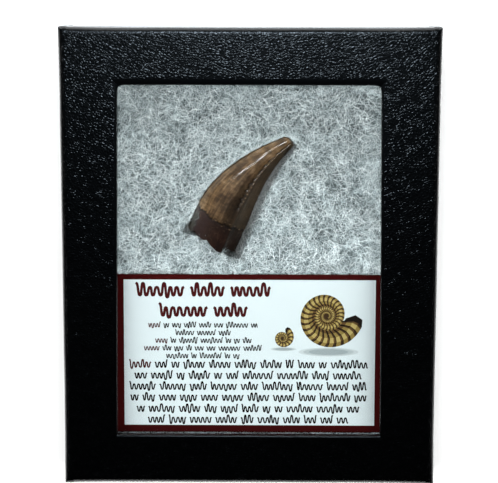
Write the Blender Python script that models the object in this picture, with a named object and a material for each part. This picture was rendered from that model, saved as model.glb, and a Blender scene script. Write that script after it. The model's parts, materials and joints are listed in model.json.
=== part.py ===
"""A fossil tooth on wadding in a flat, glass-topped display box that lies on its back.

Metres, +Z up. The origin is the middle of the box's underside: +X is right, +Y runs up the label and
+Z comes out of the glass. A rounded outline has the same number of points at every size, so two of
them can be joined point to point.
"""

import math

import bmesh
import bpy
import numpy as np
from mathutils import Vector

MM = 0.001

# the lid's outside: a board box in a grained covering, its folds a little proud at the corners
LID_TOP_WIDTH = 109.8 * MM
LID_FOOT_WIDTH = 108.8 * MM
LID_LENGTH = 134.2 * MM
BOX_HEIGHT = 19.05 * MM
WALL_HANGS_TO = 1.4 * MM
LID_WALL = 1.5 * MM
LID_PANEL = 2.2 * MM
FOLD_RADIUS = 1.3 * MM
CORNER_RADIUS = 0.7 * MM
SIDE_DISH = 0.25 * MM  # how far each side stands back from its corners
DISH_POWER = 8

# the window, a little wider at its foot, as the board was cut
WINDOW_TOP_WIDTH = 75.6 * MM
WINDOW_WIDENS = 1.5 * MM
WINDOW_LENGTH = 102.4 * MM
WINDOW_MIDDLE = Vector((-0.2, -0.9)) * MM
WINDOW_FOLD = 0.5 * MM
WINDOW_CORNER = 0.6 * MM

GAP = 0.3 * MM  # between pieces that touch
GLASS_THICK = 2.0 * MM
GLASS_CHAMFER = 0.15 * MM
GLASS_PLAY = 0.6 * MM

TRAY_PLAY = 0.45 * MM
TRAY_WALL = 1.5 * MM
TRAY_FLOOR = 1.8 * MM

CARD_WIDTH = 78.4 * MM
CARD_HEIGHT = 47.1 * MM
CARD_THICK = 0.3 * MM
CARD_MIDDLE = Vector((-0.15, -28.5)) * MM

WADDING_PLAY = 0.8 * MM
WADDING_SWELL = 0.3 * MM
SWELL_ACROSS = 10.5 * MM
SWELL_ALONG = 12.5 * MM
WADDING_CELL = 1.4 * MM
WADDING_COARSE_CELL = 6.5 * MM
POCKET_REACH = 2.5 * MM
POCKET_SLOPE = 1.5
POCKET_DEPTH_GAP = 0.45 * MM

# the tooth's two long edges, seen from above, as cubic curves from the broken base to the tip
BULGING_EDGE = [(-18.3, 8.4), (-14.2, 19.2), (-8.5, 27.4), (9.3, 34.8)]
HOLLOW_EDGE = [(-4.3, 1.4), (1.5, 12.9), (2.3, 22.0), (12.6, 32.3)]
TOOTH_BASE_HALF = 4.7 * MM
TOOTH_TIP_HALF = 1.5 * MM
TOOTH_BASE_HEIGHT = 9.5 * MM
TOOTH_TIP_HEIGHT = 10.9 * MM
TOOTH_RINGS = 44
TOOTH_SPOKES = 36
TIP_RINGS = 5
TIP_ROUND = 1.1 * MM
RIDGE_ANGLE = math.radians(61)  # where the cutting edge stands on the tooth's upper face
RIDGE_PROUD = 0.05  # of the section's radius
RIDGE_WIDTH = 0.12  # in radians round the section
FLANK_CROWN = 0.35  # how much of a full curve is left on the flank beside the cutting edge
THINNING_POWER = 1.5
# the break across the base: how far each place across it stands out along the tooth, in millimetres
BREAK_ACROSS = [-1.0, -0.86, -0.74, -0.45, -0.1, 0.36, 0.5, 0.6, 0.74, 0.86, 1.0]
BREAK_OUT = [-0.1, 0.3, -0.1, 0.9, 0.7, 2.0, 1.6, 0.3, 0.0, 1.1, 0.2]
BREAK_FADES = 0.22
TOOTH_LENGTH = 36.0 * MM
# the broken face: how wide each ring is beside the skin's, and its share of the hollow's depth
HOLLOW_DEPTH = 1.6 * MM
HOLLOW_RINGS = [(0.35, 1.0), (0.68, 0.75), (0.9, 0.05)]
HOLLOW_SMOOTHS = 0.6
SHARP_EDGE = math.radians(42)

# how finely the round folds, the corners and the long sides are divided
FOLD_STEPS = 4
ARC_POINTS = 4
SIDE_POINTS = 9


def cubic(points, t):
    """The place at t on a cubic curve given in millimetres, in metres."""
    a, b, c, d = (np.array(p) * MM for p in points)
    return (1 - t) ** 3 * a + 3 * (1 - t) ** 2 * t * b + 3 * (1 - t) * t**2 * c + t**3 * d


def material(name, colour, roughness, metallic=0.0, transmission=0.0):
    """A plain surface of that colour."""
    made = bpy.data.materials.new(name)
    made.use_nodes = True
    shader = made.node_tree.nodes["Principled BSDF"]
    shader.inputs["Base Color"].default_value = (*colour, 1.0)
    shader.inputs["Roughness"].default_value = roughness
    shader.inputs["Metallic"].default_value = metallic
    shader.inputs["Transmission Weight"].default_value = transmission
    return made


def place_mesh(name, bm, finish):
    """Makes an object of a closed mesh, its faces turned outwards."""
    bmesh.ops.recalc_face_normals(bm, faces=bm.faces)
    mesh = bpy.data.meshes.new(name)
    bm.to_mesh(mesh)
    bm.free()
    made = bpy.data.objects.new(name, mesh)
    made.data.materials.append(finish)
    bpy.context.scene.collection.objects.link(made)
    return made


def rounded_outline(width, length, radius, widens=0.0, middle=(0.0, 0.0), dish=0.0):
    """Points round an upright oblong with round corners, from its upper right corner anticlockwise.

    It is wider at its foot by what it widens, and its sides are dished, mostly close to the corners.
    """
    corners = [(1, 1), (-1, 1), (-1, -1), (1, -1)]
    arcs = []
    for turn, (right, up) in enumerate(corners):
        half = (width if up > 0 else width + widens) / 2
        centre = Vector((right * (half - radius), up * (length / 2 - radius)))
        for i in range(ARC_POINTS):
            angle = math.pi / 2 * (turn + i / (ARC_POINTS - 1))
            arcs.append(centre + radius * Vector((math.cos(angle), math.sin(angle))))
    outline = []
    for turn in range(4):
        outline += arcs[turn * ARC_POINTS : (turn + 1) * ARC_POINTS]
        start, end = outline[-1], arcs[(turn + 1) * ARC_POINTS % len(arcs)]
        inward = Vector((-(end - start).y, (end - start).x)).normalized()
        for i in range(1, SIDE_POINTS + 1):
            along = i / (SIDE_POINTS + 1)
            outline.append(start.lerp(end, along) + inward * dish * (1 - abs(2 * along - 1) ** DISH_POWER))
    return [p + Vector(middle) for p in outline]


def join_loops(name, loops, finish, ends_closed):
    """Joins equal loops of points one to the next: round into a ring, or shut by a flat face at each end."""
    bm = bmesh.new()
    rows = [[bm.verts.new((p[0], p[1], z)) for p in outline] for outline, z in loops]
    pairs = list(zip(rows, rows[1:])) + ([] if ends_closed else [(rows[-1], rows[0])])
    for lower, upper in pairs:
        for i in range(len(lower)):
            j = (i + 1) % len(lower)
            bm.faces.new((lower[i], lower[j], upper[j], upper[i]))
    if ends_closed:
        bm.faces.new(rows[0])
        bm.faces.new(rows[-1])
    return place_mesh(name, bm, finish)


def build_lid(finish):
    """The lid's board, as one section carried round: wall, fold, face, window edge, underside, inner wall."""
    panel_underside = BOX_HEIGHT - LID_PANEL

    def outside(inset):
        width, length = LID_TOP_WIDTH - 2 * inset, LID_LENGTH - 2 * inset
        return rounded_outline(width, length, CORNER_RADIUS, LID_FOOT_WIDTH - LID_TOP_WIDTH, dish=SIDE_DISH)

    def window(grown):
        width, length = WINDOW_TOP_WIDTH + 2 * grown, WINDOW_LENGTH + 2 * grown
        return rounded_outline(width, length, WINDOW_CORNER, WINDOW_WIDENS, WINDOW_MIDDLE)

    inner = outside(LID_WALL)
    loops = [(outside(0), WALL_HANGS_TO)]
    for i in range(FOLD_STEPS + 1):
        turn = math.pi / 2 * i / FOLD_STEPS
        inset = FOLD_RADIUS * (1 - math.cos(turn))
        loops.append((outside(inset), BOX_HEIGHT - FOLD_RADIUS * (1 - math.sin(turn))))
    for i in range(FOLD_STEPS + 1):
        turn = math.pi / 2 * i / FOLD_STEPS
        grown = WINDOW_FOLD * (1 - math.sin(turn))
        loops.append((window(grown), BOX_HEIGHT - WINDOW_FOLD * (1 - math.cos(turn))))
    loops += [(window(0), panel_underside), (inner, panel_underside), (inner, WALL_HANGS_TO)]
    return join_loops("lid", loops, finish, ends_closed=False)


def build_glass(finish):
    """The pane under the lid's window, its edges lightly ground."""
    off = 2 * (LID_WALL + SIDE_DISH + GLASS_PLAY)
    width, length = LID_FOOT_WIDTH - off, LID_LENGTH - off
    underside = glass_underside()
    top = underside + GLASS_THICK
    full = rounded_outline(width, length, GLASS_CHAMFER * 2)
    ground = rounded_outline(width - 2 * GLASS_CHAMFER, length - 2 * GLASS_CHAMFER, GLASS_CHAMFER)
    loops = [(ground, underside), (full, underside + GLASS_CHAMFER), (full, top - GLASS_CHAMFER), (ground, top)]
    return join_loops("glass", loops, finish, ends_closed=True)


def glass_underside():
    """The height of the pane's lower face."""
    return BOX_HEIGHT - LID_PANEL - GAP - GLASS_THICK


def tray_size():
    """The tray's outer width and length."""
    off = 2 * (LID_WALL + SIDE_DISH + TRAY_PLAY)
    return LID_FOOT_WIDTH - off, LID_LENGTH - off


def build_tray(finish):
    """The open tray that the lid's walls go round."""
    width, length = tray_size()
    top = glass_underside() - GAP
    outer = rounded_outline(width, length, CORNER_RADIUS)
    inner = rounded_outline(width - 2 * TRAY_WALL, length - 2 * TRAY_WALL, CORNER_RADIUS)
    loops = [(outer, 0.0), (outer, top), (inner, top), (inner, TRAY_FLOOR)]
    return join_loops("tray", loops, finish, ends_closed=True)


def build_card(finish):
    """The card that lies on the wadding, close under the pane."""
    top = glass_underside() - GAP
    outline = [
        CARD_MIDDLE + Vector((right * CARD_WIDTH / 2, up * CARD_HEIGHT / 2))
        for right, up in ((1, 1), (-1, 1), (-1, -1), (1, -1))
    ]
    return join_loops("label_card", [(outline, top - CARD_THICK), (outline, top)], finish, ends_closed=True)


def break_shift(across):
    """How far back along the tooth, as a share of its length, the break starts at that place across it."""
    return -np.interp(across, BREAK_ACROSS, BREAK_OUT) * MM / TOOTH_LENGTH


def tooth_section(angle):
    """A point of the section, on a unit circle but for the flank by the cutting edge, which is nearly flat."""
    across, up = math.cos(angle), math.sin(angle)
    if 0 < angle < RIDGE_ANGLE:
        share = angle / RIDGE_ANGLE
        flat = Vector((1.0, 0.0)).lerp(Vector((math.cos(RIDGE_ANGLE), math.sin(RIDGE_ANGLE))), share)
        crown = 1 + FLANK_CROWN * (1 / flat.length - 1)
        across, up = flat * crown
    proud = 1 + RIDGE_PROUD * math.exp(-(((angle - RIDGE_ANGLE) / RIDGE_WIDTH) ** 2))
    return across * proud, up * proud


def tooth_point(t, angle, narrow=1.0, forward=0.0):
    """A place on the tooth's skin: t runs from base to tip, and the angle goes round the section."""
    left, right = cubic(BULGING_EDGE, t), cubic(HOLLOW_EDGE, t)
    middle, half_across = (left + right) / 2, (right - left) / 2
    bounded = min(max(t, 0.0), 1.0)
    half_up = TOOTH_TIP_HALF + (TOOTH_BASE_HALF - TOOTH_TIP_HALF) * (1 - bounded**THINNING_POWER)
    height = TOOTH_BASE_HEIGHT + (TOOTH_TIP_HEIGHT - TOOTH_BASE_HEIGHT) * bounded
    across, up = tooth_section(angle)
    ahead = np.array((-half_across[1], half_across[0]))
    ahead /= np.linalg.norm(ahead)
    x, y = middle + half_across * across * narrow + ahead * forward
    return x, y, height + half_up * up * narrow


def build_tooth(finish):
    """The tooth as rings of skin from its ragged break to its blunt, rounded tip."""
    angles = [2 * math.pi * k / TOOTH_SPOKES for k in range(TOOTH_SPOKES)]
    bm = bmesh.new()
    rows = []
    for narrow, deep in HOLLOW_RINGS:
        inside = [break_shift(math.cos(a)) * (1 - HOLLOW_SMOOTHS * deep) for a in angles]
        row = [tooth_point(s, a, narrow, forward=deep * HOLLOW_DEPTH) for s, a in zip(inside, angles)]
        rows.append([bm.verts.new(p) for p in row])
    for i in range(TOOTH_RINGS):
        t = i / (TOOTH_RINGS - 1)
        fade = max(0.0, 1 - t / BREAK_FADES) ** 2
        row = [tooth_point(t + fade * break_shift(math.cos(a)), a) for a in angles]
        rows.append([bm.verts.new(p) for p in row])
    for i in range(1, TIP_RINGS + 1):
        turn = math.pi / 2 * i / (TIP_RINGS + 1)
        row = [tooth_point(1.0, a, math.cos(turn), TIP_ROUND * math.sin(turn)) for a in angles]
        rows.append([bm.verts.new(p) for p in row])
    for lower, upper in zip(rows, rows[1:]):
        for i in range(TOOTH_SPOKES):
            j = (i + 1) % TOOTH_SPOKES
            bm.faces.new((lower[i], lower[j], upper[j], upper[i]))
    ends = (
        (rows[0], tooth_point(0.0, 0.0, 0.0, HOLLOW_DEPTH)),
        (rows[-1], tooth_point(1.0, 0.0, 0.0, TIP_ROUND)),
    )
    for row, place in ends:
        pole = bm.verts.new(place)
        for i in range(TOOTH_SPOKES):
            bm.faces.new((row[i], row[(i + 1) % TOOTH_SPOKES], pole))
    made = place_mesh("tooth", bm, finish)
    made.data.shade_smooth()
    made.data.set_sharp_from_angle(angle=SHARP_EDGE)
    return made


def steps(low, high, fine_low, fine_high):
    """Grid lines from low to high, close together between the two fine bounds."""
    runs = (
        (low, fine_low, WADDING_COARSE_CELL),
        (fine_low, fine_high, WADDING_CELL),
        (fine_high, high, WADDING_COARSE_CELL),
    )
    lines = [low]
    for start, end, cell in runs:
        count = max(1, math.ceil((end - start) / cell))
        lines += [start + (end - start) * (i + 1) / count for i in range(count)]
    return lines


def build_wadding(finish, tooth):
    """The fibre pad: a block that fills the tray, pressed down under the card and round the tooth."""
    skin = np.array([v.co for v in tooth.data.vertices])
    margin = POCKET_REACH + 3 * MM
    width, length = tray_size()
    half_x = width / 2 - TRAY_WALL - WADDING_PLAY
    half_y = length / 2 - TRAY_WALL - WADDING_PLAY
    low, high = skin.min(axis=0) - margin, skin.max(axis=0) + margin
    across = steps(-half_x, half_x, low[0], high[0])
    along = steps(-half_y, half_y, low[1], high[1])
    full = glass_underside() - GAP - WADDING_SWELL
    under_card = glass_underside() - GAP - CARD_THICK - GAP

    def top(x, y):
        height = full + WADDING_SWELL * math.sin(x / SWELL_ACROSS + 1.3) * math.cos(y / SWELL_ALONG - 0.6)
        beside_card = max(abs(x - CARD_MIDDLE.x) - CARD_WIDTH / 2, abs(y - CARD_MIDDLE.y) - CARD_HEIGHT / 2)
        if beside_card < WADDING_COARSE_CELL:
            height = min(height, under_card)
        reach = np.hypot(skin[:, 0] - x, skin[:, 1] - y)
        rise = np.maximum(reach - POCKET_REACH, 0) * POCKET_SLOPE
        return min(height, float((skin[:, 2] - POCKET_DEPTH_GAP + rise).min()))

    bm = bmesh.new()
    underside = TRAY_FLOOR + GAP
    grid = [[bm.verts.new((x, y, top(x, y))) for x in across] for y in along]
    for j in range(len(along) - 1):
        for i in range(len(across) - 1):
            bm.faces.new((grid[j][i], grid[j][i + 1], grid[j + 1][i + 1], grid[j + 1][i]))
    rim = grid[0][:-1] + [row[-1] for row in grid[:-1]] + grid[-1][:0:-1] + [row[0] for row in grid[:0:-1]]
    foot = [bm.verts.new((v.co.x, v.co.y, underside)) for v in rim]
    for i in range(len(rim)):
        j = (i + 1) % len(rim)
        bm.faces.new((foot[i], foot[j], rim[j], rim[i]))
    bm.faces.new(foot)
    return place_mesh("wadding", bm, finish)


def main():
    for old in list(bpy.data.objects):
        bpy.data.objects.remove(old, do_unlink=True)
    covering = material("black_covering", (0.012, 0.015, 0.018), 0.45)
    board = material("tray_board", (0.02, 0.02, 0.022), 0.8)
    clear = material("clear_glass", (0.95, 0.97, 0.97), 0.02, transmission=1.0)
    fibre = material("white_fibre", (0.52, 0.57, 0.59), 0.95)
    card = material("printed_card", (0.72, 0.78, 0.8), 0.6)
    enamel = material("fossil_enamel", (0.1, 0.062, 0.035), 0.35)
    build_lid(covering)
    build_glass(clear)
    build_tray(board)
    build_card(card)
    tooth = build_tooth(enamel)
    build_wadding(fibre, tooth)


main()
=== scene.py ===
import json
import math

import bpy
import numpy as np
from mathutils import Matrix, Vector
from mathutils.geometry import delaunay_2d_cdt

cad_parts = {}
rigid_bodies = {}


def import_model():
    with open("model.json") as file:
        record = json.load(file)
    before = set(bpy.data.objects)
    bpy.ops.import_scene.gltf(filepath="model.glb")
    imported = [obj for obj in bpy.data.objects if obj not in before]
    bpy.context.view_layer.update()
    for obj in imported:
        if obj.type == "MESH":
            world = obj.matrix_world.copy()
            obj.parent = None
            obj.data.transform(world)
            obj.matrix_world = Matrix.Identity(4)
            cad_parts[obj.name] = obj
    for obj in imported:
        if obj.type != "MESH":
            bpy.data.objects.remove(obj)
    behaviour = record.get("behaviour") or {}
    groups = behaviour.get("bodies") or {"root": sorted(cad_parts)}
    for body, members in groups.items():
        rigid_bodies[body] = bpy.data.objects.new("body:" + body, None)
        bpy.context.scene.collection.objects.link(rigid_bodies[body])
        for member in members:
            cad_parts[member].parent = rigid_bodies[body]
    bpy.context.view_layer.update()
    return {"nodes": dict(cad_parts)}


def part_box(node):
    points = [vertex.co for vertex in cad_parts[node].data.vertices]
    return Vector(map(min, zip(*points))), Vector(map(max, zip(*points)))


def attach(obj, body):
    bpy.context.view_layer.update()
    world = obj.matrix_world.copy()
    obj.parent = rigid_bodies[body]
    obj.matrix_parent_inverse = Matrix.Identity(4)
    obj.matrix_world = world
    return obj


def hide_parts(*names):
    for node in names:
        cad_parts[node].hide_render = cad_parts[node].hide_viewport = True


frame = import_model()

mm = 0.001
gap = 0.3 * mm  # the clear space the model keeps between pieces that touch
print("frame loaded")


# small tools that every piece uses
def deselectAll():
    for item in bpy.context.selected_objects:
        item.select_set(False)


def pick(item):
    deselectAll()
    item.select_set(True)
    bpy.context.view_layer.objects.active = item


def editMode(on):
    bpy.ops.object.mode_set(mode="EDIT" if on else "OBJECT")


def settle(item):
    # puts the piece's place into its mesh, so that its object sits at the origin
    pick(item)
    bpy.ops.object.transform_apply(location=True, rotation=True, scale=True)


def faceOutwards(item):
    pick(item)
    editMode(True)
    bpy.ops.mesh.select_all(action="SELECT")
    bpy.ops.mesh.normals_make_consistent(inside=False)
    editMode(False)


def pieceFrom(name, places, faces):
    # a piece from its corners' places and each face's corners
    mesh = bpy.data.meshes.new(name)
    mesh.from_pydata(places, [], faces)
    made = bpy.data.objects.new(name, mesh)
    bpy.context.scene.collection.objects.link(made)
    return made


def applyModifier(item, kind, **settings):
    pick(item)
    modifier = item.modifiers.new(kind.title(), kind)
    for key, value in settings.items():
        setattr(modifier, key, value)
    bpy.ops.object.modifier_apply(modifier=modifier.name)


def corners(item):
    places = np.empty(len(item.data.vertices) * 3)
    item.data.vertices.foreach_get("co", places)
    return places.reshape(-1, 3)


def moveCorners(item, places):
    item.data.vertices.foreach_set("co", np.ascontiguousarray(places, dtype=float).ravel())
    item.data.update()


def selectFaces(item, wanted):
    # wanted takes a face's middle and its normal; leaves only those faces selected
    for face in item.data.polygons:
        face.select = False
    for edge in item.data.edges:
        edge.select = False
    for vertex in item.data.vertices:
        vertex.select = False
    for face in item.data.polygons:
        face.select = bool(wanted(face.center, face.normal))


def dress(item, *materials):
    item.data.materials.clear()
    for material in materials:
        item.data.materials.append(material)


def pointValues(item, name, values):
    # a value for each corner of the mesh, which a material can read
    made = item.data.attributes.new(name, "FLOAT", "POINT")
    made.data.foreach_set("value", np.ascontiguousarray(values, dtype=np.float32))


def ease(low, high, value):
    # 0 below low, 1 above high, and a smooth rise between them
    share = np.clip((value - low) / (high - low), 0.0, 1.0)
    return share * share * (3 - 2 * share)


def wander(places, size, seed):
    # smooth random values from about -1 to 1, with hills of about that size: nine waves, added up
    random = np.random.default_rng(seed)
    total = np.zeros(len(places))
    for _ in range(9):
        direction = random.normal(size=places.shape[1])
        direction /= np.linalg.norm(direction)
        pitch = size * random.uniform(0.6, 1.6)
        total += np.sin(places @ direction * 2 * math.pi / pitch + random.uniform(0, 2 * math.pi))
    return total / 3.5  # the nine together seldom reach past this


def nodeCopy(node, name):
    # a joined-up copy of a CAD node's loose triangles, turned back into four-sided faces
    made = frame["nodes"][node].copy()
    made.data = made.data.copy()
    made.name = name
    made.data.name = name
    bpy.context.scene.collection.objects.link(made)
    made.parent = None
    made.matrix_world = Matrix.Identity(4)
    pick(made)
    editMode(True)
    bpy.ops.mesh.select_all(action="SELECT")
    bpy.ops.mesh.remove_doubles(threshold=0.005 * mm)
    bpy.ops.mesh.customdata_custom_splitnormals_clear()
    bpy.ops.mesh.tris_convert_to_quads(face_threshold=math.radians(60), shape_threshold=math.radians(90))
    editMode(False)
    return made


# materials
def linear(hexColour):
    # an sRGB hex colour as the linear values that a shader takes
    channels = [int(hexColour[i : i + 2], 16) / 255 for i in (1, 3, 5)]
    return tuple(c / 12.92 if c <= 0.04045 else ((c + 0.055) / 1.055) ** 2.4 for c in channels) + (1.0,)


def addNode(tree, kind, settings=None, links=None):
    # one node with its settings and links; "steps" are a colour ramp's (position, hex colour) marks
    made = tree.nodes.new("ShaderNode" + kind)
    for key, value in (settings or {}).items():
        if key == "steps":
            marks = made.color_ramp.elements
            while len(marks) < len(value):
                marks.new(0.5)
            for mark, (place, colour) in zip(marks, value):
                mark.position = place
                mark.color = linear(colour)
        elif isinstance(key, int) or key in made.inputs:
            made.inputs[key].default_value = value
        else:
            setattr(made, key, value)
    for key, (source, output) in (links or {}).items():
        tree.links.new(source.outputs[output], made.inputs[key])
    return made


def feed(tree, source, output, target, *inputs):
    for name in inputs:
        tree.links.new(source.outputs[output], target.inputs[name])


def newMaterial(name, settings):
    material = bpy.data.materials.new(name)
    material.use_nodes = True
    tree = material.node_tree
    shader = tree.nodes["Principled BSDF"]
    for key, value in settings.items():
        shader.inputs[key].default_value = value
    return material, tree, shader


def cloudedColour(tree, shader, colour, dimmed, cloud):
    # the colour, dimmed to that share here and there, in clouds of about that size
    place = addNode(tree, "TexCoord")
    noise = addNode(tree, "TexNoise", {"Scale": 1 / cloud, "Detail": 3.0}, {"Vector": (place, "Object")})
    dim = [c * dimmed for c in linear(colour)[:3]] + [1.0]
    tone = addNode(tree, "Mix", {"data_type": "RGBA", 6: dim, 7: linear(colour)}, {0: (noise, "Fac")})
    feed(tree, tone, 2, shader, "Base Color")


leatherette = {
    "colour": "#020304",
    "roughness": 0.5,  # of the coating as a whole
    "gloss": 0.16,
    "coat": 0.74,
    "glintRoughness": 0.13,  # of the pebbles' polished sides
    "pebble": 0.76 * mm,  # from the middle of one pebble to the next
    "groove": 0.32,  # how wide the grooves between pebbles are, as a share of a pebble
    "relief": 0.07 * mm,
    "wrinkle": 2.6 * mm,  # how wide the waves in the rows of pebbles are
    "sway": 1.6,  # how far those waves move a pebble, in pebbles
    "fine": 0.9,  # the fine grain's height as a share of the pebbles' own
}


def makeLeatherette():
    # covering paper, coated and embossed with a pebble grain: black, with small glints on the pebbles' sides
    material, tree, shader = newMaterial(
        "embossedLeatherette",
        {
            "Base Color": linear(leatherette["colour"]),
            "Roughness": leatherette["roughness"],
            "Specular IOR Level": leatherette["gloss"],
            "Coat Weight": leatherette["coat"],
            "Coat Roughness": leatherette["glintRoughness"],
            "Coat IOR": 1.5,
        },
    )
    pebble = leatherette["pebble"]
    place = addNode(tree, "TexCoord")
    bend = addNode(
        tree, "TexNoise", {"Scale": 1 / leatherette["wrinkle"], "Detail": 1.0}, {"Vector": (place, "Object")}
    )
    centred = addNode(tree, "VectorMath", {"operation": "SUBTRACT", 1: (0.5, 0.5, 0.5)}, {0: (bend, "Color")})
    scaled = addNode(
        tree, "VectorMath", {"operation": "SCALE", "Scale": leatherette["sway"] * pebble}, {0: (centred, 0)}
    )
    warped = addNode(tree, "VectorMath", {"operation": "ADD"}, {0: (place, "Object"), 1: (scaled, 0)})
    pebbles = addNode(
        tree,
        "TexVoronoi",
        {"feature": "DISTANCE_TO_EDGE", "Scale": 1 / pebble, "Randomness": 0.85},
        {"Vector": (warped, 0)},
    )
    flats = addNode(
        tree,
        "MapRange",
        {"interpolation_type": "SMOOTHSTEP", "From Min": 0.0, "From Max": leatherette["groove"]},
        {"Value": (pebbles, "Distance")},
    )
    fine = addNode(tree, "TexNoise", {"Scale": 1.6 / pebble, "Detail": 1.5}, {"Vector": (warped, 0)})
    mixed = addNode(
        tree, "Math", {"operation": "MULTIPLY_ADD", 1: leatherette["fine"]}, {0: (fine, "Fac"), 2: (flats, 0)}
    )
    grain = addNode(tree, "Attribute", {"attribute_name": "grain"})
    height = addNode(tree, "Math", {"operation": "MULTIPLY"}, {0: (mixed, 0), 1: (grain, "Fac")})
    bump = addNode(
        tree, "Bump", {"Strength": 1.0, "Distance": leatherette["relief"]}, {"Height": (height, 0)}
    )
    feed(tree, bump, "Normal", shader, "Normal", "Coat Normal")
    return material


trayPaper = {
    "tones": [(0.35, "#07080a"), (0.65, "#101215")],
    "roughness": 0.62,
    "felt": 0.35 * mm,
    "relief": 0.02 * mm,
}


def makeTrayPaper():
    # uncoated black paper pasted on board: matt, with a faint felt of fibres
    material, tree, shader = newMaterial("pastedBlackPaper", {"Roughness": trayPaper["roughness"]})
    place = addNode(tree, "TexCoord")
    felt = addNode(
        tree, "TexNoise", {"Scale": 1 / trayPaper["felt"], "Detail": 4.0}, {"Vector": (place, "Object")}
    )
    tone = addNode(tree, "ValToRGB", {"steps": trayPaper["tones"]}, {"Fac": (felt, "Fac")})
    bump = addNode(
        tree, "Bump", {"Strength": 0.7, "Distance": trayPaper["relief"]}, {"Height": (felt, "Fac")}
    )
    feed(tree, tone, "Color", shader, "Base Color")
    feed(tree, bump, "Normal", shader, "Normal")
    return material


paneGlass = {"tint": "#fbfdfd", "shadowTint": "#f6faf9", "ior": 1.5}


def makePaneGlass():
    # float glass, 2 mm: clear and smooth on both faces; lamps reach what lies behind it
    material, tree, shader = newMaterial(
        "floatGlass",
        {
            "Base Color": linear(paneGlass["tint"]),
            "Roughness": 0.0,
            "IOR": paneGlass["ior"],
            "Transmission Weight": 1.0,
        },
    )
    path = addNode(tree, "LightPath")
    clear = addNode(tree, "BsdfTransparent", {"Color": linear(paneGlass["shadowTint"])})
    mixed = addNode(
        tree, "MixShader", links={0: (path, "Is Shadow Ray"), 1: (shader, "BSDF"), 2: (clear, "BSDF")}
    )
    feed(tree, mixed, 0, tree.nodes["Material Output"], "Surface")
    return material


fibre = {
    # the bed's two greys are painted shade: the wadding is white, darkened for its depth under the strands
    "bed": "#6d7475",
    "bedShadeDark": "#414748",
    # the strands' greys are painted shade: darker lower down, where the layers above would shade them
    "strands": ["#4d5253", "#757b7c", "#a3a9aa", "#d8dedf", "#ffffff"],  # from the lowest layer up
    "fluff": "#e6edf0",
    "roughness": 0.32,
    "gloss": 0.6,
    "cloud": 5.0 * mm,
    "fuzz": 0.5 * mm,
    "fuzzRelief": 0.3 * mm,
    "dimmed": 0.7,
}


def makeBedFibre():
    # the imported inside of polyester wadding, seen between the loose strands: grey in clouds as painted
    # shade for its depth under them, no gloss
    material, tree, shader = newMaterial("packedWadding", {"Roughness": 0.95, "Specular IOR Level": 0.1})
    place = addNode(tree, "TexCoord")
    cloud = addNode(
        tree,
        "TexNoise",
        {"Scale": 1 / fibre["cloud"], "Detail": 8.0, "Roughness": 0.7},
        {"Vector": (place, "Object")},
    )
    tone = addNode(
        tree, "ValToRGB", {"steps": [(0.3, fibre["bedShadeDark"]), (0.7, fibre["bed"])]}, {"Fac": (cloud, "Fac")}
    )
    fuzz = addNode(
        tree, "TexNoise", {"Scale": 1 / fibre["fuzz"], "Detail": 3.0}, {"Vector": (place, "Object")}
    )
    bump = addNode(
        tree, "Bump", {"Strength": 0.8, "Distance": fibre["fuzzRelief"]}, {"Height": (fuzz, "Fac")}
    )
    feed(tree, tone, "Color", shader, "Base Color")
    feed(tree, bump, "Normal", shader, "Normal")
    return material


def makeStrandFibre(name, colour):
    # spun polyester fibre: white, a little silky; the grey of the lower layers' strands is painted shade
    material, tree, shader = newMaterial(
        name,
        {
            "Roughness": fibre["roughness"],
            "Sheen Weight": 0.25,
            "Sheen Roughness": 0.4,
            "Specular IOR Level": fibre["gloss"],
        },
    )
    cloudedColour(tree, shader, colour, fibre["dimmed"], fibre["cloud"])
    return material


# floor, lights and camera
sideLamp = {
    "aim": (0, 0, 0.01),
    "size": (0.6, 1.2),
    "watts": 18.0,
    "spares": ("coveredLid", "fossilTooth", "waddingBed", "looseStrands", "glass"),
}
studio = {
    "floorTones": [(0.3, "#f1f1f0"), (0.7, "#f4f4f3")],
    "floorSize": 6.0,
    "skyColour": "#f7faff",
    "skyHorizon": 0.16,
    "skyTop": 0.0,
    "skyFades": (0.1, 0.55),  # from the horizon's strength to the top's
    "lamps": {
        # metres, watts and degrees; a lamp spares the pieces that would show it where the photograph shows
        # none, and the glass too, because light that a piece gathers through the pane counts as the pane's
        "windowBeyond": {
            "place": (0.0, 0.125, 0.14),
            "aim": (0, 0.045, 0.02),
            "size": (0.1, 0.03),
            "watts": 0.17,
            "colour": "#cfe2f2",
            "spares": ("waddingBed", "looseStrands", "labelCard", "fossilTooth", "glass"),
        },
        "waddingFoot": {
            "place": (0.014, -0.118, 0.12),
            "aim": (0.004, 0, 0.014),
            "size": (0.05, 0.04),
            "spread": 100,
            "watts": 0.39,
            "colour": "#f6fbff",
            "lightsOnly": ("waddingBed", "looseStrands"),
        },
        "softLeft": {"place": (-1.0, 0.0, 0.8), **sideLamp},
        "softRight": {"place": (1.0, -0.2, 0.8), **sideLamp},
        "toothSoft": {
            "place": (-0.6, 0.9, 1.2),
            "aim": (0, 0.02, 0.014),
            "size": (2.0, 2.0),
            "watts": 20.0,
            "colour": "#fff2e4",
            "inGloss": False,  # its square would stand out on the polished root
            "lightsOnly": ("fossilTooth",),
            "shadesOnly": ("fossilTooth", "coveredLid"),
        },
        "toothStrip": {
            "place": (-0.031, 0.099, 0.21),
            "aim": (-0.048, 0.041, 0.014),
            "size": (0.13, 0.016),
            "watts": 0.1,
            "lightsOnly": ("fossilTooth", "glass"),
        },
        "floorFill": {
            "place": (0.0, 1.1, 1.3),
            "aim": (0, 0, 0),
            "size": (0.8, 0.8),
            "watts": 22.0,
            "lightsOnly": ("floor",),
        },
    },
}
photoView = {
    "place": (4.1 * mm, 71.7 * mm, 500.0 * mm),
    "tilt": 7.85,  # degrees towards the foot of the box
    "turn": -0.51,
    "roll": -0.13,
    "focalPixels": 1682.2,
    "pictureWidth": 498,
}


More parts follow.
